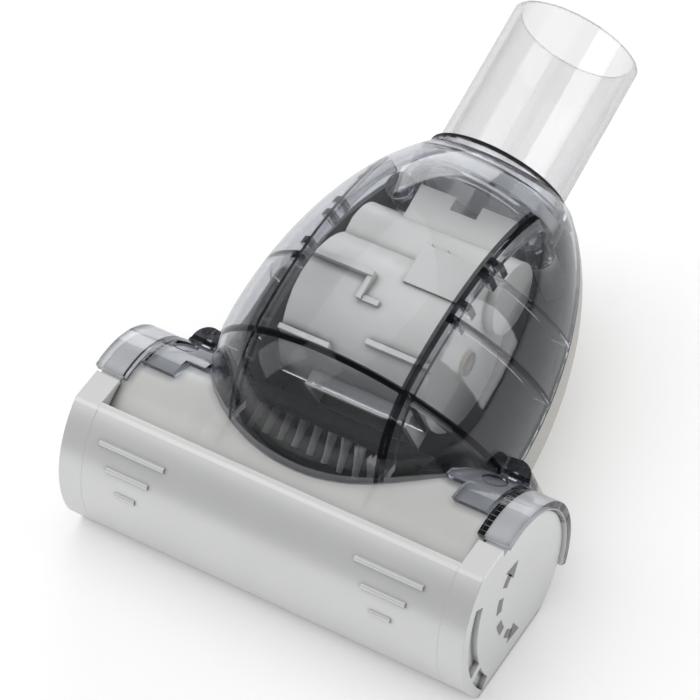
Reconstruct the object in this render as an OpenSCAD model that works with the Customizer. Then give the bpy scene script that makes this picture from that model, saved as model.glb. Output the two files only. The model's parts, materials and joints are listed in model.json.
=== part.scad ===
// Air-driven turbo brush for upholstery, for the end of a vacuum cleaner tube.
// The brush roll turns about the X axis and the tube points back along +Y and up.
// Two frames share the brush axis as their origin: the hood's is level,
// and the body's is tilted so that its Y runs along the tube.
// All sizes are in millimetres.

/* [Neck tube] */
// Outer diameter of the tube
tube_outer_d = 39; // [32:0.5:42]
// Wall thickness of the tube
tube_wall = 2; // [1.2:0.1:3]
// Tilt of the tube above the floor, in degrees
tube_tilt = 16; // [12:1:22]
// Distance from the brush axis to the mouth of the tube
tube_reach = 149.4; // [135:0.5:165]
// Distance from the brush axis to the seam where the tube leaves the body
seam_reach = 102.5; // [99:0.5:106]

/* [Brush roll] */
// Height of the brush axis above the floor
axis_height = 20; // [19:0.5:22]
// Diameter of the brush roll's core
core_d = 18; // [14:0.5:22]
// Gap between the tips of the tufts and the chamber wall
tip_gap = 0.4; // [0.3:0.1:1.5]
// Number of tufts in one helical row
tufts_per_row = 15; // [8:1:18]
// Number of rows round the core
tuft_rows = 2; // [1:1:3]
// Twist of one row from end to end, in degrees
row_twist = 100; // [0:5:150]

/* [Chamber] */
// Outer diameter of the brush chamber
chamber_d = 43; // [41:0.5:45]
// Wall thickness of the clear cover
cover_wall = 2; // [1.5:0.1:2.5]
// Length of the chamber between the outer faces of its end plates
chamber_len = 114; // [108:1:118]
// Outer diameter of the skirts over the ends of the hood
skirt_d = 48; // [46:0.5:50]

/* [Body] */
// Greatest width of the egg-shaped body
body_width = 92.6; // [86:0.2:98]
// Where along the tube's line the body is widest
body_wide_at = 33.5; // [30:0.5:38]
// Length of the body in front of its widest place
body_front_len = 40.5; // [38:0.5:44]
// Length of the rear curve, if it ran to a point
body_rear_len = 79.5; // [76:0.5:84]
// Distance of the body's own axis below the tube's axis
body_drop = 3.4; // [2:0.2:5]
// Half the distance between the two long ribs
rib_offset = 23; // [19:0.5:27]
// Depth of the ribs under the cover
rib_depth = 4; // [2:0.5:5]

/* [Hood] */
// Overall width of the hood
hood_width = 128; // [124:1:132]
// Width of each end cap
cap_width = 7.5; // [6:0.5:9]
// Radius of the curved front
front_r = 31.5; // [30.5:0.5:32.5]
// Thickness of the front plate
plate_wall = 3; // [2:0.1:3.5]
// Height of the flat top frame above the brush axis
frame_rise = 22.5; // [21.5:0.1:23]
// Diameter of the journals that the hood turns on
journal_d = 24; // [16:1:28]

/* [Turbine] */
// Diameter of the turbine wheel
wheel_d = 35; // [28:1:37]
// Width of the turbine wheel
wheel_len = 40; // [30:1:40]
// Number of blades
blades = 12; // [8:1:16]
// Distance from the brush axis to the turbine axis
turbine_reach = 50; // [48:0.5:53]
// Diameter of the pulley on the brush roll
brush_pulley_d = 19; // [16:0.5:22]
// Diameter of the pulley on the turbine shaft
drive_pulley_d = 8; // [6:0.5:10]
// Place of the belt along the brush axis
belt_x = -36; // [-38:0.5:-32]
// Width of the belt
belt_w = 6; // [4:0.5:7]

/* [Fasteners] */
// Diameter of the screws' shanks
screw_d = 3; // [2.5:0.1:3.5]
// Diameter of the screws' heads
screw_head_d = 5.6; // [5:0.1:6]

/* [Hidden] */
$fn = 72;
run_fit = 0.05;
part_gap = 0.3;
tube_r = tube_outer_d / 2;
tube_bore_r = tube_r - tube_wall;
chamber_r = chamber_d / 2;
chamber_in_r = chamber_r - cover_wall;
chamber_half = chamber_len / 2;
tip_r = min(chamber_in_r, axis_height) - tip_gap;
core_r = core_d / 2;
skirt_r = skirt_d / 2;
skirt_in_r = skirt_r - cover_wall - 0.5;
hood_half = hood_width / 2;
cap_in = hood_half - cap_width;
cap_rear_r = skirt_in_r - 0.7;
skirt_end = hood_half + 1;
journal_r = journal_d / 2;
plate_t = 2.5;
plate_in = chamber_half - plate_t;
journal_end = hood_half - 3;
axle_r = 2;
bush_r = 5;
bush_len = 5;
// The front arc's centre lies a little behind and under the brush axis
arc_y = 1;
arc_z = -4;
lip_y = -14.5;
sole_y = -13;
sole_t = 2.2;
bar_middle = [-42, 39];
// Angles about the brush axis, level, counted from straight back, upwards
skirt_from = -35;
skirt_to = 102;
chamber_front = 145;
chamber_low = -60;
wall_to = 64;
swing_angle = -42;
part_angle = tube_tilt - asin(body_drop / chamber_r);
// Body of revolution
body_r = body_width / 2;
body_start = body_wide_at - body_front_len;
egg_steps = 14;
lower_wall = 2.2;
belly_flat_to = 44;
collar_in_r = tube_r + 0.1;
collar_r = collar_in_r + 1.6;
flange_r = tube_r + 1.9;
flange_at = seam_reach - 9.3;
flange_len = 3.2;
sleeve_r = flange_r + 0.2;
// Bosses of the four screws, in the body's frame
front_boss = [49, 24.8];
rear_boss = [21, 87.3];
rear_boss_top = 8;
boss_r = 4.2;
lug_r = 24.2;
dish_angle = 37;
screw_r = screw_d / 2;
screw_bottom = -body_drop - 7;
// The belt's guard, then the turbine's housing beside it
box_half = belt_w / 2 + 2.4;
wheel_r = wheel_d / 2;
duct_in_r = wheel_r + 1.5;
duct_wall = 1.8;
duct_half = wheel_len / 2 + 1.2 + duct_wall;
duct_gap = 3.6;
duct_mid = belt_x + box_half + duct_gap + duct_half;
roll_at = 71.5;
roll_r = 10.5;
roll_from = duct_mid - duct_half;
roll_to = duct_mid + duct_half + 3;
outlet_half = 15.5;
outlet_end = 90;
shaft_r = 1.5;
turbine_bush_r = 3.5;
belt_t = 1.4;
belt_gap = run_fit;
box_wall = 1.2;
brush_pulley_r = brush_pulley_d / 2;
drive_pulley_r = drive_pulley_d / 2;
// Brush roll
core_end = plate_in - 3;
disc_at = belt_x - 9;
tufts_from = belt_x + box_half + 3;
tufts_to = core_end - 3;
tuft_r = 1.5;
tuft_root = core_r - 3;
// The middle of the whole brush along Y is the origin's place
rear_edge = tube_reach * cos(tube_tilt) + tube_r * sin(tube_tilt);
front_edge = arc_y - front_r;
centre_y = (rear_edge + front_edge) / 2;

// Frames

module level() {
    translate([0, -centre_y, axis_height]) children();
}

module body() {
    level() rotate([tube_tilt, 0, 0]) children();
}

// Stands a flat shape drawn in Y and Z up and pushes it along X
module along_x(from, to) {
    translate([from, 0, 0]) rotate([90, 0, 90]) linear_extrude(to - from) children();
}

// Lays the axis of a turned shape along Y
module along_y() {
    rotate([-90, 0, 0]) children();
}

module mirrored_x(side) {
    if (side < 0) mirror([1, 0, 0]) children();
    else children();
}

// Flat helpers

module ring(inner, outer) {
    difference() {
        circle(outer);
        circle(inner);
    }
}

// A wedge of less than half a turn
module wedge(from, to, reach = 200) {
    polygon([
        [0, 0],
        reach * [cos(from), sin(from)],
        1.5 * reach * [cos((from + to) / 2), sin((from + to) / 2)],
        reach * [cos(to), sin(to)]
    ]);
}

module arc_band(inner, outer, from, to) {
    intersection() {
        ring(inner, outer);
        union() {
            wedge(from, (from + to) / 2 + 0.5);
            wedge((from + to) / 2 - 0.5, to);
        }
    }
}

// The egg-shaped body

function egg_r(t) = t < body_wide_at
    ? body_r * pow(max(0, 1 - pow((body_wide_at - t) / body_front_len, 2.3)), 1 / 2.3)
    : body_r * sqrt(max(0, 1 - pow((t - body_wide_at) / body_rear_len, 2)));

module egg(inset = 0) {
    from = body_start + inset;
    first = [for (i = [1 : egg_steps]) from + (body_wide_at - from) * pow(i / egg_steps, 2)];
    last = [for (i = [1 : egg_steps]) body_wide_at + (seam_reach - body_wide_at) * i / egg_steps];
    stations = concat(first, last);
    squash = body_front_len / (body_front_len - inset);
    outline = [for (t = stations)
        let (s = t < body_wide_at ? body_wide_at - (body_wide_at - t) * squash : t)
        [egg_r(s) - inset, t]];
    translate([0, 0, -body_drop]) along_y() rotate_extrude($fn = 96)
        polygon(concat([[0, from]], outline, [[0, seam_reach]]));
}

module above_parting(shift = 0) {
    translate([-100, -100, -body_drop + shift]) cube([200, 300, 200]);
}

module below_parting(shift = 0) {
    translate([-100, -100, -200 - body_drop + shift]) cube([200, 300, 200]);
}

// Underside of the body: flat on the floor, then rising to the collar
function belly_z(y) = -axis_height + 0.168 * pow(max(0, y - belly_flat_to), 1.25);

module above_belly(lift = 0) {
    reach = 130;
    along_x(-100, 100) polygon(concat(
        [[-100, 120], [-100, -axis_height + lift]],
        [for (y = [belly_flat_to : 8 : reach]) [y, belly_z(y) + lift]],
        [[reach, 120]]
    ));
}

// Room that the hood's front plate needs when the hood is turned
module swing_room(grow = 0) {
    along_x(-chamber_half - 1, chamber_half + 1)
        rotate(swing_angle) translate([-100, -200 + grow]) square([200, 200]);
}

module chamber_bore() {
    along_x(-chamber_half, chamber_half) circle(chamber_in_r);
}

// The collar that holds the neck tube, as a solid to add and a space to take away
module collar_outer() {
    along_y() translate([0, 0, flange_at - 2.4]) cylinder(r = sleeve_r + 1.6, h = 6.8);
    along_y() translate([0, 0, flange_at]) cylinder(r = collar_r, h = seam_reach - flange_at);
}

module collar_space() {
    along_y() translate([0, 0, flange_at - 5]) cylinder(r = tube_bore_r, h = 30);
    along_y() translate([0, 0, flange_at - 0.3]) cylinder(r = sleeve_r, h = flange_len + 0.6);
    along_y() translate([0, 0, flange_at]) cylinder(r = collar_in_r, h = 30);
}

module boss_pad(place, from, to, radius = boss_r) {
    translate([place[0], place[1], from]) cylinder(r = radius, h = to - from);
}

// Screw lugs beside the body, which join the chamber and the egg
module lug(from, to) {
    for (side = [-1, 1]) mirrored_x(side) {
        boss_pad(front_boss, from, to, boss_r + 0.8);
        translate([38, 14, from]) cube([front_boss[0] - 38, front_boss[1] - 9.2, to - from]);
        translate([front_boss[0] - 5, 8, from]) cube([10.4, front_boss[1] - 8, to - from]);
    }
}

// Sub-parts of the housing

module cover_ribs() {
    intersection() {
        above_parting();
        difference() {
            intersection() {
                egg(cover_wall - 0.3);
                union() {
                    for (side = [-1, 1]) {
                        translate([side * rib_offset - 0.6, -2, -50]) cube([1.2, 92, 120]);
                        for (y = [47.8, 53, 63.4, 68.3])
                            translate([side * rib_offset + (side > 0 ? 0 : -2.6), y, -50])
                                cube([2.6, 2.4, 120]);
                        translate([side > 0 ? rib_offset : -60, 49, -50])
                            cube([60 - rib_offset, 1.2, 120]);
                    }
                    translate([-60, 24.5, -50]) cube([120, 1.4, 120]);
                    translate([rib_offset, 66, -50]) cube([60 - rib_offset, 1.2, 120]);
                }
            }
            egg(cover_wall + rib_depth);
            chamber_bore();
            along_x(belt_x - box_half - part_gap, belt_x + box_half + part_gap)
                belt_outline(3.4 + part_gap);
        }
    }
}

// Wall between the brush chamber and the belt and turbine space
module cover_wall_front() {
    intersection() {
        above_parting();
        egg(cover_wall - 0.3);
        translate([-rib_offset, 24.5, 10]) cube([2 * rib_offset, 1.4, 60]);
    }
}

module top_cover() {
    color([0.30, 0.32, 0.36, 0.45]) {
        difference() {
            union() {
                difference() {
                    union() {
                        body() intersection() {
                            union() {
                                egg();
                                collar_outer();
                            }
                            above_parting();
                            along_y() translate([0, 0, -20]) cylinder(r = 100, h = seam_reach + 20);
                        }
                        level() along_x(-chamber_half, chamber_half)
                            arc_band(chamber_in_r - 0.5, chamber_r, part_angle, chamber_front);
                        body() intersection() {
                            lug(-body_drop, 30);
                            along_x(-chamber_half, chamber_half) circle(lug_r);
                        }
                        body() lug(-body_drop, 5);
                    }
                    difference() {
                        body() egg(cover_wall);
                        body() intersection() {
                            collar_outer();
                            above_parting();
                        }
                    }
                    body() chamber_bore();
                }
                body() cover_ribs();
                body() cover_wall_front();
                body() for (side = [-1, 1]) mirrored_x(side)
                    boss_pad(rear_boss, -body_drop, rear_boss_top);
                for (side = [-1, 1]) level() mirrored_x(side) {
                    along_x(plate_in + 1, chamber_half)
                        arc_band(chamber_in_r + 0.5, skirt_r, part_angle, skirt_to);
                    along_x(chamber_half, skirt_end)
                        arc_band(skirt_in_r, skirt_r, skirt_from, skirt_to);
                }
            }
            body() collar_space();
            body() for (side = [-1, 1]) mirrored_x(side) {
                translate([front_boss[0], 0, 0]) rotate([dish_angle - 90, 0, 0])
                    translate([0, 0, lug_r - 0.9]) cylinder(r = 3.6, h = 5);
                translate([front_boss[0], front_boss[1], -20]) cylinder(r = screw_r, h = 23.8);
                translate([rear_boss[0], rear_boss[1], -20]) cylinder(r = screw_r, h = 25);
            }
        }
    }
}

module lower_solid(inset) {
    difference() {
        intersection() {
            body() egg(inset);
            level() above_belly(inset);
            body() below_parting(inset > 0 ? 1 : 0);
        }
        level() swing_room(inset);
    }
}

module lower_shell() {
    color([0.62, 0.60, 0.56]) {
        difference() {
            union() {
                difference() {
                    union() {
                        lower_solid(0);
                        level() along_x(-chamber_half, chamber_half)
                            arc_band(chamber_in_r - 0.5, chamber_r, chamber_low, part_angle);
                        body() difference() {
                            lug(-body_drop - 8.5, -body_drop);
                            chamber_bore();
                        }
                    }
                    difference() {
                        lower_solid(lower_wall);
                        body() collar_outer();
                    }
                    body() chamber_bore();
                }
                body() intersection() {
                    collar_outer();
                    below_parting();
                    along_y() translate([0, 0, -20]) cylinder(r = 100, h = seam_reach + 20);
                }
                intersection() {
                    body() {
                        for (side = [-1, 1]) mirrored_x(side)
                            boss_pad(rear_boss, -40, -body_drop);
                        difference() {
                            for (y = [turbine_reach, roll_at + 1])
                                translate([-14, y, -40]) cube([28, 1.6, 30]);
                            duct_form(0);
                        }
                    }
                    level() above_belly(0.5);
                    body() egg(0.5);
                }
            }
            body() collar_space();
            body() for (side = [-1, 1]) mirrored_x(side) for (place = [front_boss, rear_boss]) {
                translate([place[0], place[1], -60]) cylinder(r = screw_r + 0.1, h = 70);
                translate([place[0], place[1], -60])
                    cylinder(r = screw_head_d / 2 + 0.3, h = 60 + screw_bottom + 2.6);
            }
        }
    }
}

// Black wall between the brush and the inside of the body,
// with windows for the belt and for the air
module chamber_wall() {
    inset = lower_wall + run_fit;
    color([0.12, 0.12, 0.13]) intersection() {
        level() along_x(-chamber_half, chamber_half)
            arc_band(chamber_in_r + 0.1, chamber_r - 0.1, chamber_low + 8, wall_to);
        body() egg(inset);
        level() above_belly(inset);
        difference() {
            level() translate([-60, -60, -60]) cube(120);
            level() swing_room(inset);
            body() translate([-60, 0, -14]) cube([61 + belt_x + belt_w / 2, 40, 28]);
            body() translate([-14.4, 10, -6.4]) cube([28.8, 30, 11.8]);
        }
    }
}

// Three overlapping outlines in Y and Z make the turbine housing: a house round the
// wheel, a wide roll behind it and a box that leads to the collar.
// Each is shrunk by the wall for the room inside.
module wheel_house(inset) {
    translate([turbine_reach, 0]) circle(duct_in_r + duct_wall - inset);
    translate([turbine_reach, -body_drop - 8 + inset])
        square([roll_at - turbine_reach, 17 - 2 * inset]);
}

module outlet_box(inset) {
    translate([roll_at - 2, -body_drop - 8 + inset])
        square([outlet_end - roll_at + 2, 19 - 2 * inset]);
}

module duct_form(inset) {
    along_x(duct_mid - duct_half + inset, duct_mid + duct_half - inset) wheel_house(inset);
    along_x(roll_from + inset, roll_to - inset) translate([roll_at, 0.5]) circle(roll_r - inset);
    along_x(-outlet_half + inset, outlet_half - inset) outlet_box(inset);
}

module duct_solid() {
    difference() {
        union() {
            duct_form(0);
            translate([-16, 24.5, -8]) cube([32, 16, 15]);
        }
        duct_form(duct_wall);
        translate([-14.4, 20, -6.4]) cube([28.8, 22, 11.8]);
        translate([0, outlet_end - 4, -1]) along_y() cylinder(r = outlet_half - 6, h = 14);
        along_x(-60, 60) translate([turbine_reach, 0]) circle(turbine_bush_r);
    }
}

module turbine_cover() {
    color([0.70, 0.69, 0.65]) body() {
        intersection() {
            duct_solid();
            above_parting();
        }
        // Ledges on the outside of the cover
        difference() {
            union() {
                translate([duct_mid - duct_half, turbine_reach + 5, 12]) cube([20, 1.6, 11]);
                translate([-8.6, turbine_reach - 2, 12]) cube([1.6, 8.6, 10.6]);
                translate([-7, turbine_reach - 2, 12]) cube([5, 1.6, 10]);
                translate([duct_mid - duct_half, turbine_reach - 16.5, 8]) cube([16, 1.6, 8.5]);
                translate([-1, turbine_reach - 12, 8]) cube([duct_mid + duct_half + 1, 1.6, 11.5]);
                translate([0, turbine_reach + 8, 8]) cube([duct_mid + duct_half, 12, 12]);
                translate([-1.5, roll_at - 7, 6]) cube([1.6, 8, 9.5]);
                translate([3.5, roll_at - 7, 6]) cube([1.6, 8, 9.5]);
            }
            duct_form(0.2);
        }
    }
}

module turbine_base() {
    color([0.55, 0.54, 0.51]) body() intersection() {
        duct_solid();
        below_parting();
    }
}

// Two walls with a curved rim that keep dust away from the belt
module belt_guard() {
    color([0.20, 0.21, 0.23]) body() difference() {
        along_x(belt_x - box_half, belt_x + box_half) belt_outline(3.4);
        along_x(belt_x - box_half + box_wall, belt_x + box_half - box_wall) belt_outline(2.2);
        along_x(-60, 60) circle(chamber_r + part_gap);
        translate([-60, -40, -60]) cube([120, 40 + chamber_r, 120]);
        along_x(-60, 60) translate([turbine_reach, 0]) circle(turbine_bush_r);
    }
}

module end_plate(side) {
    color([0.12, 0.12, 0.13]) level() mirrored_x(side) difference() {
        union() {
            along_x(plate_in, chamber_half) circle(chamber_in_r);
            along_x(plate_in - 2.5, plate_in) circle(bush_r + 2);
            along_x(chamber_half, journal_end) circle(journal_r);
        }
        along_x(plate_in - 3, plate_in - 2.5 + bush_len) circle(bush_r);
        along_x(plate_in, journal_end - 1) circle(axle_r + 0.4);
    }
}

module brush_bush(side) {
    color([0.75, 0.62, 0.35]) level() mirrored_x(side)
        along_x(plate_in - 2.5, plate_in - 2.5 + bush_len) ring(axle_r + run_fit, bush_r);
}

module turbine_bush(side) {
    color([0.75, 0.62, 0.35]) at_turbine() translate([duct_mid, 0, 0]) mirrored_x(side)
        along_x(duct_half - duct_wall, duct_half + 1.2) ring(shaft_r + run_fit, turbine_bush_r);
}

module neck_seal() {
    color([0.06, 0.06, 0.07]) body() along_y() translate([0, 0, seam_reach])
        linear_extrude(0.9) ring(collar_in_r, collar_r);
}

module screw(place, side) {
    length = 14;
    color([0.45, 0.45, 0.47]) body() mirrored_x(side) translate([place[0], place[1], 0])
        difference() {
            union() {
                translate([0, 0, screw_bottom]) cylinder(r = screw_head_d / 2, h = 2.6);
                translate([0, 0, screw_bottom]) cylinder(r = screw_r - run_fit, h = length);
            }
            for (turn = [0, 90]) rotate(turn)
                translate([-1.8, -0.35, screw_bottom - 1]) cube([3.6, 0.7, 2.4]);
        }
}

// Sub-parts of the hood

// Side outline shared by the plate and the caps: flat frame on top, flat sole
module hood_front_outline() {
    intersection() {
        translate([arc_y, arc_z]) circle(front_r, $fn = 180);
        circle(front_r + 0.3, $fn = 180);
        translate([-60, -axis_height]) square([60, axis_height + frame_rise]);
    }
}

module hood_plate() {
    rib_in = chamber_r + 0.7;
    color([0.80, 0.81, 0.80]) level() {
        along_x(-cap_in, cap_in) difference() {
            hood_front_outline();
            intersection() {
                translate([arc_y, arc_z]) circle(front_r - plate_wall, $fn = 180);
                translate([-60, sole_t - axis_height]) square([80, 80]);
            }
            translate([lip_y, 0]) square([40, 60]);
            translate([sole_y, -60]) square([40, 70]);
        }
        // Sealing rib that runs the full width over the chamber's front edge
        along_x(-cap_in, cap_in) intersection() {
            arc_band(rib_in, front_r, 141, 144);
            translate([arc_y, arc_z]) circle(front_r - 1);
        }
        for (x = [-38, 0, 38]) along_x(x - 0.8, x + 0.8) intersection() {
            arc_band(rib_in, front_r, 142, 226);
            translate([arc_y, arc_z]) circle(front_r - 1);
            hood_front_outline();
        }
        // Three raised bars, each shorter than the one above, near each end
        for (side = [-1, 1]) for (i = [0 : 2]) grip_bar(side, i);
    }
}

module grip_bar(side, i) {
    bar_angle = 139 + 11.8 * i;
    half = [10.5, 6.8, 3.2][i];
    middle = bar_middle[side < 0 ? 0 : 1];
    centre = [arc_y, arc_z] + front_r * [cos(bar_angle), sin(bar_angle)];
    translate([middle - half, centre[0] + 0.3, centre[1]]) rotate([0, 90, 0])
        cylinder(r = 0.9, h = 2 * half, $fn = 24);
}

module hood_cap_outline() {
    intersection() {
        union() {
            difference() {
                hood_front_outline();
                translate([-6, 0]) square([40, 60]);
            }
            circle(cap_rear_r);
            translate([-8, -axis_height]) square([8, axis_height + 15]);
        }
        translate([-60, -axis_height]) square([120, axis_height + frame_rise]);
    }
}

// Stepped recess at the front of each end face, in two lengths
module finger_recess(from, to, depth) {
    along_x(hood_half - depth, hood_half + 5) intersection() {
        difference() {
            translate([arc_y, arc_z]) circle(front_r - 3.2);
            translate([arc_y + 4.5, arc_z]) circle(front_r - 3.2);
        }
        arc_band(5, 60, from, to);
    }
}

module hood_cap(side) {
    color([0.80, 0.81, 0.80]) level() mirrored_x(side) difference() {
        along_x(cap_in, hood_half) hood_cap_outline();
        // Inside of the cap: room for the chamber's end and the journal
        along_x(cap_in - 1, chamber_half + 0.5) circle(chamber_r + 0.5);
        along_x(chamber_half - 1, journal_end + part_gap) circle(journal_r + run_fit);
        finger_recess(146, 198, 1.6);
        finger_recess(203, 220, 1.6);
    }
}

// Sub-parts of the brush roll

module brush_core() {
    color([0.10, 0.10, 0.11]) level() difference() {
        union() {
            along_x(tufts_from - 2, core_end) circle(core_r);
            along_x(-core_end, belt_x - belt_w / 2 - 1) circle(core_r);
            along_x(belt_x - belt_w / 2 - 1, tufts_from - 2) circle(core_r - 3);
            // Disc that keeps threads away from the belt and the left bearing
            along_x(disc_at - 1, disc_at + 1) circle(chamber_in_r - part_gap);
        }
        along_x(-60, 60) circle(axle_r);
        for (row = [0 : tuft_rows - 1]) for (i = [0 : tufts_per_row - 1])
            tuft_place(row, i) cylinder(r = tuft_r, h = 20, $fn = 16);
    }
}

module tuft_place(row, i) {
    along = tufts_from + (tufts_to - tufts_from) * i / (tufts_per_row - 1);
    angle = row * 360 / tuft_rows + row_twist * i / (tufts_per_row - 1) - 78;
    translate([along, 0, 0]) rotate([angle, 0, 0]) translate([0, 0, tuft_root]) children();
}

// Each tuft is a solid bundle: a round foot in the core and a slim blade above it
module tufts(row) {
    color([0.45, 0.45, 0.46]) level() for (i = [0 : tufts_per_row - 1]) {
        tuft_place(row, i) {
            cylinder(r = tuft_r, h = core_r - tuft_root, $fn = 16);
            translate([0, 0, core_r - tuft_root - 0.01])
                cylinder(r = tuft_r, h = tip_r - core_r, $fn = 16);
        }
    }
}

module brush_axle() {
    color([0.70, 0.71, 0.72]) level() along_x(-journal_end + 1.4, journal_end - 1.4) circle(axle_r);
}

module brush_pulley() {
    color([0.86, 0.86, 0.84]) level() difference() {
        union() {
            along_x(belt_x - belt_w / 2 - 1, belt_x + belt_w / 2 + 1) circle(brush_pulley_r);
            for (x = [belt_x - belt_w / 2 - 1, belt_x + belt_w / 2])
                along_x(x, x + 1) circle(brush_pulley_r + 1.6);
        }
        along_x(-60, 60) circle(core_r - 3);
    }
}

// Sub-parts of the turbine

module at_turbine() {
    body() translate([0, turbine_reach, 0]) children();
}

module turbine_wheel() {
    hub_r = 6;
    color([0.88, 0.88, 0.86]) at_turbine() translate([duct_mid, 0, 0]) difference() {
        union() {
            along_x(-wheel_len / 2, wheel_len / 2) circle(hub_r);
            along_x(-0.8, 0.8) circle(wheel_r);
            for (i = [0 : blades - 1]) along_x(-wheel_len / 2, wheel_len / 2)
                rotate(i * 360 / blades) difference() {
                    translate([hub_r - 1, 0]) intersection() {
                        translate([7, -8]) circle(12.5);
                        translate([-2, 0]) square([wheel_r - hub_r + 3, 10]);
                    }
                    translate([hub_r + 6, -8]) circle(11.3);
                }
        }
        difference() {
            along_x(-60, 60) circle(60);
            along_x(-60, 60) circle(wheel_r);
        }
        along_x(-60, 60) circle(shaft_r);
    }
}

module turbine_shaft() {
    color([0.70, 0.71, 0.72]) at_turbine() along_x(belt_x - box_half + box_wall + 0.5, duct_mid + duct_half + 1)
        circle(shaft_r);
}

module drive_pulley() {
    color([0.86, 0.86, 0.84]) at_turbine() difference() {
        union() {
            along_x(belt_x - belt_w / 2 - 0.8, belt_x + belt_w / 2 + 0.8) circle(drive_pulley_r);
            for (x = [belt_x - belt_w / 2 - 0.8, belt_x + belt_w / 2])
                along_x(x, x + 0.8) circle(drive_pulley_r + 1.4);
        }
        along_x(-60, 60) circle(shaft_r);
    }
}

// Outline of the belt's path round both pulleys, drawn wider by a margin.
// The corners lie just outside the true arcs, so the flats between clear them.
module belt_outline(margin) {
    big = brush_pulley_r + margin;
    small = drive_pulley_r + margin;
    lean = acos((big - small) / turbine_reach);
    steps = 16;
    step_big = (360 - 2 * lean) / steps;
    step_small = 2 * lean / steps;
    polygon(concat(
        [for (i = [0 : steps])
            let (a = lean + i * step_big)
            big / cos(step_big / 2) * [cos(a), sin(a)]],
        [for (i = [0 : steps])
            let (a = -lean + i * step_small)
            [turbine_reach, 0] + small / cos(step_small / 2) * [cos(a), sin(a)]]
    ));
}

module drive_belt() {
    color([0.09, 0.09, 0.09]) body() along_x(belt_x - belt_w / 2 + 0.1, belt_x + belt_w / 2 - 0.1)
        difference() {
            belt_outline(belt_t + belt_gap);
            belt_outline(belt_gap);
        }
}

// Sub-parts of the neck

module neck_tube() {
    color([0.86, 0.87, 0.88, 0.4]) body() along_y() translate([0, 0, flange_at])
        difference() {
            cylinder(r = tube_r, h = tube_reach - flange_at);
            translate([0, 0, -1]) cylinder(r = tube_bore_r, h = tube_reach - flange_at + 2);
        }
}

module neck_ring() {
    color([0.62, 0.60, 0.56]) body() along_y() translate([0, 0, flange_at])
        linear_extrude(flange_len) ring(tube_r, flange_r);
}

top_cover();
lower_shell();
chamber_wall();
turbine_cover();
turbine_base();
belt_guard();
end_plate(-1);  // end_plate_l
end_plate(1);  // end_plate_r
brush_bush(-1);  // brush_bush_l
brush_bush(1);  // brush_bush_r
turbine_bush(-1);  // turbine_bush_l
turbine_bush(1);  // turbine_bush_r
neck_seal();
screw(front_boss, -1);  // screw_front_l
screw(front_boss, 1);  // screw_front_r
screw(rear_boss, -1);  // screw_rear_l
screw(rear_boss, 1);  // screw_rear_r
hood_plate();
hood_cap(-1);  // hood_cap_l
hood_cap(1);  // hood_cap_r
brush_core();
brush_axle();
brush_pulley();
tufts(0);  // tufts_a
tufts(1);  // tufts_b
turbine_wheel();
turbine_shaft();
drive_pulley();
drive_belt();
neck_tube();
neck_ring();
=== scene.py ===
# Air-driven turbo brush for upholstery, dressed for its looks.
# The CAD model is the frame: every piece stays where the frame puts it.
import json
import math
import random

import bpy
from mathutils import Matrix, Vector


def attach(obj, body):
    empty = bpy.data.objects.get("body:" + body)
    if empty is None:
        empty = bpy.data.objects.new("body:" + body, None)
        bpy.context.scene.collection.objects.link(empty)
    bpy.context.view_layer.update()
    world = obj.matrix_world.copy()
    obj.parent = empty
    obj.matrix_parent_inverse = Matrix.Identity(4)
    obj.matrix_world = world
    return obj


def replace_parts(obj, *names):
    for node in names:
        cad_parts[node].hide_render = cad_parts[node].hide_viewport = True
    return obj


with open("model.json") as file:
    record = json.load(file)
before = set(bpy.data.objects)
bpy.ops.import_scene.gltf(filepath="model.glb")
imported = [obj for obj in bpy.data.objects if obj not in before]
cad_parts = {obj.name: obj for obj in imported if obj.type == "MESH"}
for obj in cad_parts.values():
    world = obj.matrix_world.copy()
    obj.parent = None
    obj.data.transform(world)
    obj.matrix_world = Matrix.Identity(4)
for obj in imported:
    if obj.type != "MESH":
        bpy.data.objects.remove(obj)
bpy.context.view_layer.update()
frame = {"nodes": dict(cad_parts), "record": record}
nodes = frame["nodes"]
MM = 0.001

# Place of the brush axis in metres, and the tilt of the tube above the floor
AXIS_Y = -0.0592437
AXIS_Z = 0.020
TILT = math.radians(16)

# Sizes of the CAD model that the materials follow, in millimetres.
# The ribs and tabs are given in the body's frame, along and above the tube's line.
BODY_DROP = 3.4
CHAMBER_REACH = 21.8
FRAME_TOP = 41.9
FAR = 120
LONG_RIB = (22.5, 23.5)
LONG_RIB_MIDDLE = 23
LONG_RIB_FROM, LONG_RIB_TO = -4, 90
CROSS_RIB = (24.6, 25.8)
SIDE_RIB = (49.2, 50.1)
TABS = (47.8, 53, 63.4, 68.3)
TAB_BAND = (0.2, 2.2)
TAB_TO = 25.6
RIM = (-4, -2.7)
RIM_FROM = 20
RIBS_OVER_RIM = 0.8


def level_point(x, y, z):
    """A point given in millimetres from the brush axis."""
    return Vector((x * MM, AXIS_Y + y * MM, AXIS_Z + z * MM))


def body_point(x, along, up):
    """A point given in millimetres along and above the tube's line."""
    y = along * math.cos(TILT) - up * math.sin(TILT)
    z = along * math.sin(TILT) + up * math.cos(TILT)
    return level_point(x, y, z)


# Materials

def new_material(name):
    """An empty material with its node tree and output."""
    mat = bpy.data.materials.new(name)
    mat.use_nodes = True
    nt = mat.node_tree
    nt.nodes.clear()
    out = nt.nodes.new("ShaderNodeOutputMaterial")
    return mat, nt, out


def node(nt, kind, **values):
    """A new node, with its settings or input values given by name."""
    made = nt.nodes.new(kind)
    for key, value in values.items():
        if hasattr(made, key):
            setattr(made, key, value)
        else:
            made.inputs[key.replace("_", " ")].default_value = value
    return made


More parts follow.
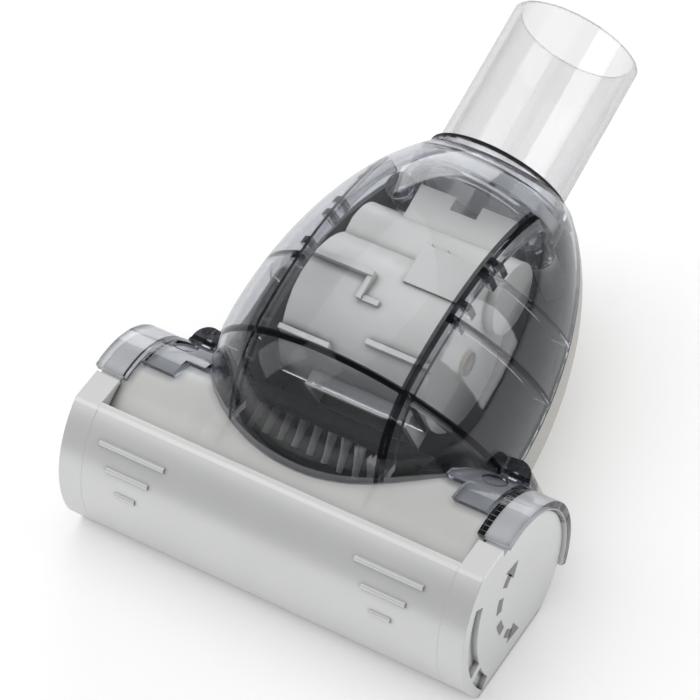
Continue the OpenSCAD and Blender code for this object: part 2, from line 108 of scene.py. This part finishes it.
def noise(nt, scale, detail=3.0, rough=0.55):
    """Noise that is fixed to the object."""
    coords = node(nt, "ShaderNodeTexCoord")
    made = node(nt, "ShaderNodeTexNoise", Scale=scale, Detail=detail, Roughness=rough)
    nt.links.new(coords.outputs["Object"], made.inputs["Vector"])
    return made


def spread(nt, source, low, high):
    """The noise value stretched from low to high."""
    made = node(nt, "ShaderNodeMapRange")
    made.inputs["From Min"].default_value = 0.3
    made.inputs["From Max"].default_value = 0.7
    made.inputs["To Min"].default_value = low
    made.inputs["To Max"].default_value = high
    nt.links.new(source, made.inputs["Value"])
    return made.outputs["Result"]


def two_tone(nt, source, dark, light):
    """A colour that goes from dark to light with the source."""
    made = node(nt, "ShaderNodeMix", data_type="RGBA")
    made.inputs["A"].default_value = (*dark, 1)
    made.inputs["B"].default_value = (*light, 1)
    nt.links.new(source, made.inputs["Factor"])
    return made.outputs["Result"]


def painted_corner_shade(nt, colour, reach):
    """The colour with painted shade: darker in corners and beside raised details within that
    reach in mm.
    """
    corner = node(nt, "ShaderNodeAmbientOcclusion", samples=6, Distance=reach * MM)
    nt.links.new(colour, corner.inputs["Color"])
    return corner.outputs["Color"]


def plastic(name, dark, light, rough, scale=900, bump=0.02, metal=0.0, coat=0.0, edge=0.0,
            corners=0.0, painted_highlight_above=0.0, shine=0.5):
    """Moulded or painted plastic: fine grain, slight colour drift, softened edges, with
    optional painted shade in corners and a painted highlight above a height.
    """
    mat, nt, out = new_material(name)
    bsdf = node(nt, "ShaderNodeBsdfPrincipled", Metallic=metal)
    bsdf.inputs["Coat Weight"].default_value = coat
    bsdf.inputs["Coat Roughness"].default_value = 0.12
    bsdf.inputs["Specular IOR Level"].default_value = shine
    grain = noise(nt, scale, 4)
    drift = noise(nt, 24, 2)
    colour = two_tone(nt, spread(nt, drift.outputs["Fac"], 0, 1), dark, light)
    if painted_highlight_above:
        # Painted highlight: faces above that height in millimetres get a paler colour, standing
        # in for light on the top
        place = node(nt, "ShaderNodeSeparateXYZ")
        coords = node(nt, "ShaderNodeTexCoord")
        nt.links.new(coords.outputs["Object"], place.inputs["Vector"])
        painted_lit_band = node(nt, "ShaderNodeMix", data_type="RGBA")
        painted_lit_band.inputs["B"].default_value = (0.99, 0.99, 0.985, 1)
        nt.links.new(colour, painted_lit_band.inputs["A"])
        high = slab(nt, place.outputs["Z"], painted_highlight_above, FAR)
        nt.links.new(high, painted_lit_band.inputs["Factor"])
        colour = painted_lit_band.outputs["Result"]
    # Painted shade: the colour is darker in corners and beside raised details
    if corners:
        colour = painted_corner_shade(nt, colour, corners)
    nt.links.new(colour, bsdf.inputs["Base Color"])
    nt.links.new(spread(nt, grain.outputs["Fac"], rough - 0.05, rough + 0.06),
                 bsdf.inputs["Roughness"])
    bumped = node(nt, "ShaderNodeBump", Strength=bump, Distance=0.0002)
    nt.links.new(grain.outputs["Fac"], bumped.inputs["Height"])
    if edge:
        soft = node(nt, "ShaderNodeBevel", samples=6, Radius=edge * MM)
        nt.links.new(soft.outputs["Normal"], bumped.inputs["Normal"])
    nt.links.new(bumped.outputs["Normal"], bsdf.inputs["Normal"])
    nt.links.new(bsdf.outputs["BSDF"], out.inputs["Surface"])
    return mat


def near_brush_axis(nt, radius, soft=0.6):
    """1 inside that distance of the brush axis in millimetres, and 0 outside."""
    coords = node(nt, "ShaderNodeTexCoord")
    split = node(nt, "ShaderNodeSeparateXYZ")
    flat = node(nt, "ShaderNodeCombineXYZ")
    away = node(nt, "ShaderNodeVectorMath", operation="DISTANCE")
    away.inputs[1].default_value = (0, AXIS_Y, AXIS_Z)
    edge = node(nt, "ShaderNodeMapRange")
    edge.inputs["From Min"].default_value = (radius + soft / 2) * MM
    edge.inputs["From Max"].default_value = (radius - soft / 2) * MM
    nt.links.new(coords.outputs["Object"], split.inputs["Vector"])
    nt.links.new(split.outputs["Y"], flat.inputs["Y"])
    nt.links.new(split.outputs["Z"], flat.inputs["Z"])
    nt.links.new(flat.outputs["Vector"], away.inputs[0])
    nt.links.new(away.outputs["Value"], edge.inputs["Value"])
    return edge.outputs["Result"]


def slab(nt, value, low, high, soft=0.12):
    """1 where a value in metres lies between two bounds in millimetres, with a soft edge."""
    rise = node(nt, "ShaderNodeMapRange")
    rise.inputs["From Min"].default_value = (low - soft) * MM
    rise.inputs["From Max"].default_value = low * MM
    fall = node(nt, "ShaderNodeMapRange")
    fall.inputs["From Min"].default_value = (high + soft) * MM
    fall.inputs["From Max"].default_value = high * MM
    both = node(nt, "ShaderNodeMath", operation="MULTIPLY")
    for part, slot_index in ((rise, 0), (fall, 1)):
        nt.links.new(value, part.inputs["Value"])
        nt.links.new(part.outputs["Result"], both.inputs[slot_index])
    return both.outputs["Value"]


def largest(nt, values):
    """The greatest of some values."""
    total = values[0]
    for value in values[1:]:
        made = node(nt, "ShaderNodeMath", operation="MAXIMUM")
        nt.links.new(total, made.inputs[0])
        nt.links.new(value, made.inputs[1])
        total = made.outputs["Value"]
    return total


def product(nt, a, b):
    """Two values multiplied."""
    made = node(nt, "ShaderNodeMath", operation="MULTIPLY")
    nt.links.new(a, made.inputs[0])
    nt.links.new(b, made.inputs[1])
    return made.outputs["Value"]


def rib_mask(nt):
    """1 on the cover's ribs, where the plastic is thick and looks dark."""
    coords = node(nt, "ShaderNodeTexCoord")
    turned = node(nt, "ShaderNodeMapping", vector_type="POINT")
    turned.inputs["Rotation"].default_value = (-TILT, 0, 0)
    moved = node(nt, "ShaderNodeVectorMath", operation="SUBTRACT")
    moved.inputs[1].default_value = (0, AXIS_Y, AXIS_Z)
    split = node(nt, "ShaderNodeSeparateXYZ")
    side = node(nt, "ShaderNodeMath", operation="ABSOLUTE")
    nt.links.new(coords.outputs["Object"], moved.inputs[0])
    nt.links.new(moved.outputs["Vector"], turned.inputs["Vector"])
    nt.links.new(turned.outputs["Vector"], split.inputs["Vector"])
    nt.links.new(split.outputs["X"], side.inputs[0])
    x, along, up = side.outputs["Value"], split.outputs["Y"], split.outputs["Z"]
    above = slab(nt, up, RIM[0] + RIBS_OVER_RIM, FAR)
    long_ribs = product(nt, slab(nt, x, *LONG_RIB), slab(nt, along, LONG_RIB_FROM, LONG_RIB_TO))
    cross = slab(nt, along, *CROSS_RIB)
    side_rib = product(nt, slab(nt, along, *SIDE_RIB), slab(nt, x, LONG_RIB_MIDDLE, FAR))
    tabs = largest(nt, [slab(nt, along, at + TAB_BAND[0], at + TAB_BAND[1]) for at in TABS])
    tab_zone = product(nt, tabs, slab(nt, x, LONG_RIB_MIDDLE, TAB_TO))
    rim = product(nt, slab(nt, up, *RIM), slab(nt, along, RIM_FROM, FAR))
    ribs = largest(nt, [long_ribs, cross, side_rib, tab_zone])
    return largest(nt, [product(nt, ribs, above), rim])


def clear_plastic(name, tint, rough, pass_tint, absorb, density, milk=0.0, satin=0.0,
                  ribs=False, shine=0.5):
    """Polished clear plastic that lets the lamps' light through."""
    mat, nt, out = new_material(name)
    bsdf = node(nt, "ShaderNodeBsdfPrincipled", IOR=1.49, Base_Color=(*tint, 1))
    inside = node(nt, "ShaderNodeVolumeAbsorption", Color=(*absorb, 1), Density=density)
    nt.links.new(inside.outputs["Volume"], out.inputs["Volume"])
    bsdf.inputs["Transmission Weight"].default_value = 1.0
    bsdf.inputs["Specular IOR Level"].default_value = shine
    fine = noise(nt, 60, 3)
    nt.links.new(spread(nt, fine.outputs["Fac"], rough, rough + 0.03), bsdf.inputs["Roughness"])
    wave = noise(nt, 14, 1)
    bumped = node(nt, "ShaderNodeBump", Strength=0.05, Distance=0.0004)
    nt.links.new(wave.outputs["Fac"], bumped.inputs["Height"])
    nt.links.new(bumped.outputs["Normal"], bsdf.inputs["Normal"])
    through = node(nt, "ShaderNodeBsdfTransparent", Color=(*pass_tint, 1))
    path = node(nt, "ShaderNodeLightPath")
    mix = node(nt, "ShaderNodeMixShader")
    nt.links.new(path.outputs["Is Shadow Ray"], mix.inputs["Fac"])
    surface = bsdf.outputs["BSDF"]
    if ribs:
        shade = node(nt, "ShaderNodeMix", data_type="RGBA")
        shade.inputs["A"].default_value = (*tint, 1)
        shade.inputs["B"].default_value = (0.03, 0.032, 0.038, 1)
        nt.links.new(rib_mask(nt), shade.inputs["Factor"])
        nt.links.new(shade.outputs["Result"], bsdf.inputs["Base Color"])
    if milk:
        # A faint milky haze, stronger where the wall is seen edge on
        haze = node(nt, "ShaderNodeBsdfPrincipled", Base_Color=(0.62, 0.61, 0.62, 1),
                    Roughness=0.4)
        edge = node(nt, "ShaderNodeLayerWeight", Blend=0.35)
        blend = node(nt, "ShaderNodeMixShader")
        nt.links.new(spread(nt, edge.outputs["Facing"], milk, milk + 0.35), blend.inputs["Fac"])
        nt.links.new(bsdf.outputs["BSDF"], blend.inputs[1])
        nt.links.new(haze.outputs["BSDF"], blend.inputs[2])
        surface = blend.outputs["Shader"]
    if satin:
        # The brush chamber is moulded with a satin face that catches a veil of light
        veil = node(nt, "ShaderNodeBsdfPrincipled", Metallic=0.15, Roughness=0.34)
        pale = noise(nt, 30, 2)
        shade = two_tone(nt, spread(nt, pale.outputs["Fac"], 0, 1), (0.88, 0.87, 0.84),
                         (0.96, 0.95, 0.92))
        # Painted shade darkens the veil's colour in corners and beside raised details
        nt.links.new(painted_corner_shade(nt, shade, 2.5), veil.inputs["Base Color"])
        cover = node(nt, "ShaderNodeMixShader")
        share = node(nt, "ShaderNodeMath", operation="MULTIPLY")
        share.inputs[1].default_value = satin
        nt.links.new(near_brush_axis(nt, CHAMBER_REACH), share.inputs[0])
        nt.links.new(share.outputs["Value"], cover.inputs["Fac"])
        nt.links.new(surface, cover.inputs[1])
        nt.links.new(veil.outputs["BSDF"], cover.inputs[2])
        surface = cover.outputs["Shader"]
    nt.links.new(surface, mix.inputs[1])
    nt.links.new(through.outputs["BSDF"], mix.inputs[2])
    nt.links.new(mix.outputs["Shader"], out.inputs["Surface"])
    return mat


# Silver paint with painted shade in corners and a painted highlight above the frame's top
silver = plastic("silver_paint", (0.80, 0.81, 0.805), (0.84, 0.85, 0.845), 0.33, 2600, 0.03,
                 metal=0.42, coat=0.35, edge=0.3, corners=1.6, painted_highlight_above=FRAME_TOP)
warm_grey = plastic("warm_grey", (0.52, 0.51, 0.475), (0.57, 0.56, 0.525), 0.40, 1500, 0.08,
                    edge=0.3)
black = plastic("black_plastic", (0.006, 0.006, 0.006), (0.010, 0.010, 0.010), 0.6, 1500, 0.04,
                shine=0.1)
rubber = plastic("black_rubber", (0.010, 0.010, 0.010), (0.018, 0.018, 0.018), 0.62, 1800, 0.2)
nylon = plastic("natural_nylon", (0.66, 0.66, 0.62), (0.74, 0.74, 0.70), 0.38, 1200, 0.05,
                edge=0.2)
steel = plastic("ground_steel", (0.50, 0.51, 0.52), (0.60, 0.60, 0.61), 0.28, 4000, 0.1,
                metal=1.0)
bronze = plastic("bronze", (0.40, 0.34, 0.25), (0.47, 0.40, 0.30), 0.40, 5000, 0.2, metal=1.0)
bristle = plastic("bristle", (0.30, 0.295, 0.285), (0.52, 0.51, 0.49), 0.38, 900, 0.02)
marks = plastic("grey_mark", (0.24, 0.24, 0.24), (0.28, 0.28, 0.28), 0.45, 2000, 0.03)
smoked = clear_plastic("smoked_clear", (0.95, 0.96, 0.975), 0.006, (0.96, 0.965, 0.975),
                       (0.22, 0.25, 0.33), 125, satin=0.58, ribs=True, shine=0.25)
clear = clear_plastic("clear", (0.97, 0.965, 0.97), 0.03, (0.97, 0.97, 0.98),
                      (0.46, 0.45, 0.46), 70, milk=0.07)
# Pale grey with painted shade in corners
pale_grey = plastic("pale_grey", (0.62, 0.605, 0.56), (0.70, 0.685, 0.635), 0.36, 1500, 0.02,
                    edge=0.3, corners=2.5)


def painted_shade_inside(mat, shade, turned=0.4):
    """Painted shade inside: faces turned to the body's axis get a dark colour, standing in for
    the shade inside the body.

    A face counts as turned when its normal leads that many millimetres towards the axis.
    """
    nt = mat.node_tree
    bsdf = next(n for n in nt.nodes if n.type == "BSDF_PRINCIPLED")
    painted = bsdf.inputs["Base Color"].links[0].from_socket
    spot = node(nt, "ShaderNodeNewGeometry")
    coords = node(nt, "ShaderNodeTexCoord")
    away = node(nt, "ShaderNodeVectorMath", operation="SUBTRACT")
    along = node(nt, "ShaderNodeVectorMath", operation="DOT_PRODUCT")
    axis = body_point(0, 1, 0) - body_point(0, 0, 0)
    away.inputs[1].default_value = body_point(0, 0, -BODY_DROP)
    along.inputs[1].default_value = axis.normalized()
    on_axis = node(nt, "ShaderNodeVectorMath", operation="SCALE")
    on_axis.inputs[0].default_value = axis.normalized()
    radial = node(nt, "ShaderNodeVectorMath", operation="SUBTRACT")
    facing = node(nt, "ShaderNodeVectorMath", operation="DOT_PRODUCT")
    inner = node(nt, "ShaderNodeMath", operation="LESS_THAN")
    inner.inputs[1].default_value = -turned * MM
    shown = node(nt, "ShaderNodeMix", data_type="RGBA")
    shown.inputs["B"].default_value = (*shade, 1)
    link = nt.links.new
    link(coords.outputs["Object"], away.inputs[0])
    link(away.outputs["Vector"], along.inputs[0])
    link(along.outputs["Value"], on_axis.inputs["Scale"])
    link(away.outputs["Vector"], radial.inputs[0])
    link(on_axis.outputs["Vector"], radial.inputs[1])
    link(radial.outputs["Vector"], facing.inputs[0])
    link(spot.outputs["True Normal"], facing.inputs[1])
    link(facing.outputs["Value"], inner.inputs[0])
    link(inner.outputs["Value"], shown.inputs["Factor"])
    link(painted, shown.inputs["A"])
    link(shown.outputs["Result"], bsdf.inputs["Base Color"])


# Painted shade on the lower shell's inner faces, standing in for the shade inside the body
painted_shade_inside(warm_grey, (0.055, 0.058, 0.062))
OWN_FINISH = {"turbine_cover": pale_grey}

FINISH = {
    "smoked_clear": smoked, "clear": clear, "silver": silver, "warm_grey": warm_grey,
    "black": black, "bronze": bronze, "black_rubber": rubber, "steel": steel,
    "natural_nylon": nylon, "bristle": bristle,
}


def finish_of(name):
    """The material of a CAD node, by its own name or by its slot in the record."""
    if name in OWN_FINISH:
        return OWN_FINISH[name]
    for part in frame["record"]["subparts"]:
        if part["node"] == name:
            return FINISH[part["material_slot"]]
    return warm_grey


# Angle in degrees under which an edge is shaded smooth, and the welding distance in metres
SMOOTH_UNDER = 32
WELD = 2e-6


def smoothing_group():
    """Smooth shading across shallow edges, as one shared modifier."""
    group = bpy.data.node_groups.new("smooth_curves", "GeometryNodeTree")
    group.interface.new_socket("Geometry", in_out="INPUT", socket_type="NodeSocketGeometry")
    group.interface.new_socket("Geometry", in_out="OUTPUT", socket_type="NodeSocketGeometry")
    source = group.nodes.new("NodeGroupInput")
    result = group.nodes.new("NodeGroupOutput")
    weld = group.nodes.new("GeometryNodeMergeByDistance")
    weld.inputs["Distance"].default_value = WELD
    faces = group.nodes.new("GeometryNodeSetShadeSmooth")
    faces.domain = "FACE"
    faces.inputs["Shade Smooth"].default_value = True
    angle = group.nodes.new("GeometryNodeInputMeshEdgeAngle")
    sharp = group.nodes.new("FunctionNodeCompare")
    sharp.operation = "GREATER_THAN"
    sharp.inputs["B"].default_value = math.radians(SMOOTH_UNDER)
    edges = group.nodes.new("GeometryNodeSetShadeSmooth")
    edges.domain = "EDGE"
    edges.inputs["Shade Smooth"].default_value = False
    link = group.links.new
    link(source.outputs[0], weld.inputs["Geometry"])
    link(weld.outputs["Geometry"], faces.inputs["Geometry"])
    link(faces.outputs["Geometry"], edges.inputs["Geometry"])
    link(angle.outputs["Unsigned Angle"], sharp.inputs["A"])
    link(sharp.outputs["Result"], edges.inputs["Selection"])
    link(edges.outputs["Geometry"], result.inputs[0])
    return group


curves = smoothing_group()
for name, obj in nodes.items():
    mat = finish_of(name)
    if not obj.material_slots:
        obj.data.materials.append(mat)
    for part_slot in obj.material_slots:
        part_slot.material = mat
    obj.modifiers.new("smooth_curves", "NODES").node_group = curves


# Pieces

def make_object(name, verts, faces, mat, body, smooth=True):
    """A mesh that rides on a body of the frame."""
    mesh = bpy.data.meshes.new(name)
    mesh.from_pydata([tuple(v) for v in verts], [], faces)
    mesh.validate()
    mesh.update()
    mesh.polygons.foreach_set("use_smooth", [smooth] * len(mesh.polygons))
    mesh.materials.append(mat)
    obj = bpy.data.objects.new(name, mesh)
    bpy.context.scene.collection.objects.link(obj)
    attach(obj, body)
    return obj


# The brush roll's tufts, in millimetres and degrees
TUFT_FROM = -27.6
TUFT_TO = 48.5
TUFTS = 15
CORE_R = 9.0
TIP_R = 19.0
TUFT_R = 1.15
ROW_TWIST = 100
ROW_START = -78
FILAMENTS = 46
FILAMENT_R = 0.13
FILAMENT_SIDES = 3
FILAMENT_STEPS = 4
FILAMENT_TAPER = 0.25
SUNK = 0.4
LEAN = 0.16
GOLDEN_ANGLE = 2.39996
ALONG_X = Vector((1, 0, 0))


def tufts(name, row, seed):
    """Every tuft of one row as a bundle of fine filaments, slightly splayed."""
    rng = random.Random(seed)
    verts, faces = [], []
    for i in range(TUFTS):
        t = i / (TUFTS - 1)
        root = Vector((TUFT_FROM + (TUFT_TO - TUFT_FROM) * t, 0, 0))
        turn = math.radians(180 * row + ROW_TWIST * t + ROW_START)
        out = Vector((0, -math.sin(turn), math.cos(turn)))
        side = Vector((0, math.cos(turn), math.sin(turn)))
        for k in range(FILAMENTS):
            away = TUFT_R * math.sqrt((k + 0.5) / FILAMENTS)
            phase = k * GOLDEN_ANGLE
            a, b = away * math.cos(phase), away * math.sin(phase)
            tip = TIP_R - 0.05 - rng.random() * 0.5 - 0.12 * away
            lean_a, lean_b = rng.gauss(0, LEAN), rng.gauss(0, LEAN)
            first = len(verts)
            for s in range(FILAMENT_STEPS + 1):
                f = s / FILAMENT_STEPS
                splay = 0.75 + 0.65 * f * f
                r = FILAMENT_R * (1 - FILAMENT_TAPER * f)
                mid = (root + out * (CORE_R - SUNK + (tip - CORE_R + SUNK) * f)
                       + ALONG_X * (a * splay + lean_a * f * f)
                       + side * (b * splay + lean_b * f * f))
                for q in range(FILAMENT_SIDES):
                    w = q * 2 * math.pi / FILAMENT_SIDES + phase
                    verts.append(level_point(*(mid + ALONG_X * r * math.cos(w)
                                               + side * r * math.sin(w))))
            for s in range(FILAMENT_STEPS):
                low = first + s * FILAMENT_SIDES
                high = low + FILAMENT_SIDES
                for q in range(FILAMENT_SIDES):
                    after = (q + 1) % FILAMENT_SIDES
                    faces.append((low + q, low + after, high + after, high + q))
            top = first + FILAMENT_STEPS * FILAMENT_SIDES
            faces.append((top, top + 1, top + 2))
    return make_object(name, verts, faces, bristle, "brush")


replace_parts(tufts("bristles_a", 0, 11), "tufts_a")
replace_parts(tufts("bristles_b", 1, 23), "tufts_b")

# Turning marks on the right end cap: two arrows and two dashes on one circle

FACE_X = 64.0
MARK_LIFT = 0.05
MARK_Y, MARK_Z = 2.0, -2.4
MARK_IN, MARK_OUT = 12.6, 15.1
HEAD_EXTRA = 1.7


def face_point(radius, angle):
    """A point just off the cap's face, by its distance and angle from the marks' centre."""
    a = math.radians(angle)
    y = MARK_Y + radius * math.cos(a)
    return level_point(FACE_X + MARK_LIFT, y, MARK_Z + radius * math.sin(a))


def band(verts, faces, from_angle, to_angle, steps=10):
    """A flat stretch of the marks' ring."""
    first = len(verts)
    for k in range(steps + 1):
        a = from_angle + (to_angle - from_angle) * k / steps
        verts.append(face_point(MARK_IN, a))
        verts.append(face_point(MARK_OUT, a))
    for k in range(steps):
        i = first + 2 * k
        faces.append((i, i + 1, i + 3, i + 2))


def arrow_head(verts, faces, from_angle, tip_angle):
    """A flat arrow head that points along the ring."""
    i = len(verts)
    verts.append(face_point(MARK_IN - HEAD_EXTRA, from_angle))
    verts.append(face_point(MARK_OUT + HEAD_EXTRA, from_angle))
    verts.append(face_point((MARK_IN + MARK_OUT) / 2, tip_angle))
    faces.append((i, i + 1, i + 2))


mark_verts, mark_faces = [], []
band(mark_verts, mark_faces, 133, 117)
arrow_head(mark_verts, mark_faces, 119, 99)
band(mark_verts, mark_faces, 165, 146)
band(mark_verts, mark_faces, 200, 181)
band(mark_verts, mark_faces, 213, 228)
arrow_head(mark_verts, mark_faces, 226, 247)
make_object("turning_marks", mark_verts, mark_faces, marks, "hood", smooth=False)

# Floor and light

FLOOR_GLOW = 0.20
SOFT_LIGHT = 0.42
IN_REFLECTIONS = 0.14


def stage_plane(name, size, colour):
    """A plain floor that looks white to the camera and keeps the object's shadow."""
    mesh = bpy.data.meshes.new(name)
    h = size / 2
    mesh.from_pydata([(-h, -h, 0), (h, -h, 0), (h, h, 0), (-h, h, 0)], [], [(0, 1, 2, 3)])
    obj = bpy.data.objects.new(name, mesh)
    bpy.context.scene.collection.objects.link(obj)
    mat, nt, out = new_material(name)
    diffuse = node(nt, "ShaderNodeBsdfDiffuse", Color=(*colour, 1))
    glow = node(nt, "ShaderNodeEmission", Color=(1, 1, 1, 1), Strength=FLOOR_GLOW)
    both = node(nt, "ShaderNodeAddShader")
    path = node(nt, "ShaderNodeLightPath")
    seen = node(nt, "ShaderNodeMath", operation="MAXIMUM")
    pick = node(nt, "ShaderNodeMixShader")
    nt.links.new(path.outputs["Is Camera Ray"], seen.inputs[0])
    nt.links.new(path.outputs["Is Transmission Ray"], seen.inputs[1])
    nt.links.new(seen.outputs["Value"], pick.inputs["Fac"])
    nt.links.new(diffuse.outputs["BSDF"], both.inputs[0])
    nt.links.new(glow.outputs["Emission"], both.inputs[1])
    nt.links.new(diffuse.outputs["BSDF"], pick.inputs[1])
    nt.links.new(both.outputs["Shader"], pick.inputs[2])
    nt.links.new(pick.outputs["Shader"], out.inputs["Surface"])
    mesh.materials.append(mat)
    return obj


floor = stage_plane("floor", 12, (0.86, 0.86, 0.86))
floor.location = (0, 0, -0.0002)


def softbox(name, place, aim, width, height, power):
    """A rectangular lamp that points at a place."""
    light = bpy.data.lights.new(name, "AREA")
    light.shape = "RECTANGLE"
    light.size = width
    light.size_y = height
    light.energy = power
    obj = bpy.data.objects.new(name, light)
    obj.location = place
    obj.rotation_euler = (Vector(aim) - Vector(place)).to_track_quat("-Z", "Y").to_euler()
    bpy.context.scene.collection.objects.link(obj)
    return obj


softbox("top_softbox", (-0.30, 0.10, 1.3), (0, 0, 0.03), 1.3, 1.3, 7.0).visible_glossy = False
softbox("left_softbox", (-1.1, -0.5, 0.7), (0, 0, 0.03), 0.5, 0.9, 3.2).visible_glossy = False
softbox("front_softbox", (-0.55, -0.60, 1.05), (0, -0.06, 0.02), 0.7, 0.7, 1.1)
softbox("rear_softbox", (-0.46, 1.04, 0.40), (0, 0, 0.05), 0.9, 0.5, 3.5)
softbox("right_softbox", (1.0, 0.4, 0.5), (0, 0, 0.03), 0.4, 0.9, 3.0)

world = bpy.data.worlds.new("studio")
bpy.context.scene.world = world
world.use_nodes = True
background = world.node_tree.nodes["Background"]
background.inputs["Color"].default_value = (1, 1, 1, 1)
# White behind the object, plain soft light on it, and darker surroundings in reflections
path = node(world.node_tree, "ShaderNodeLightPath")
direct = node(world.node_tree, "ShaderNodeMath", operation="MAXIMUM")
lit = node(world.node_tree, "ShaderNodeMapRange")
lit.inputs["To Min"].default_value = SOFT_LIGHT
lit.inputs["To Max"].default_value = IN_REFLECTIONS
shown = node(world.node_tree, "ShaderNodeMix", data_type="FLOAT")
shown.inputs["B"].default_value = 1.0
link = world.node_tree.links.new
link(path.outputs["Is Camera Ray"], direct.inputs[0])
link(path.outputs["Is Transmission Ray"], direct.inputs[1])
link(path.outputs["Is Glossy Ray"], lit.inputs["Value"])
link(lit.outputs["Result"], shown.inputs["A"])
link(direct.outputs["Value"], shown.inputs["Factor"])
link(shown.outputs["Result"], background.inputs["Strength"])

# Camera, solved on the photograph: its place from the brush axis in millimetres,
# its right and back directions, and its focal length in pixels of a 700 pixel picture

EYE = (378.49, -438.89, 749.29)
RIGHT = Vector((0.8410, 0.5314, -0.1015))
BACK = Vector((0.4064, -0.4967, 0.7669))
FOCAL_PIXELS = 3523.65
PICTURE_PIXELS = 700
SENSOR = 36
cam = bpy.data.cameras.new("camera")
cam.sensor_width = SENSOR
cam.lens = FOCAL_PIXELS / PICTURE_PIXELS * SENSOR
cam.clip_start = 0.01
cam.clip_end = 50
cam_obj = bpy.data.objects.new("camera", cam)
bpy.context.scene.collection.objects.link(cam_obj)
back = BACK.normalized()
right = (RIGHT - back * RIGHT.dot(back)).normalized()
up = back.cross(right)
turn = Matrix((right, up, back)).transposed().to_4x4()
cam_obj.matrix_world = Matrix.Translation(level_point(*EYE)) @ turn
bpy.context.scene.camera = cam_obj
bpy.context.scene.view_settings.view_transform = "Standard"
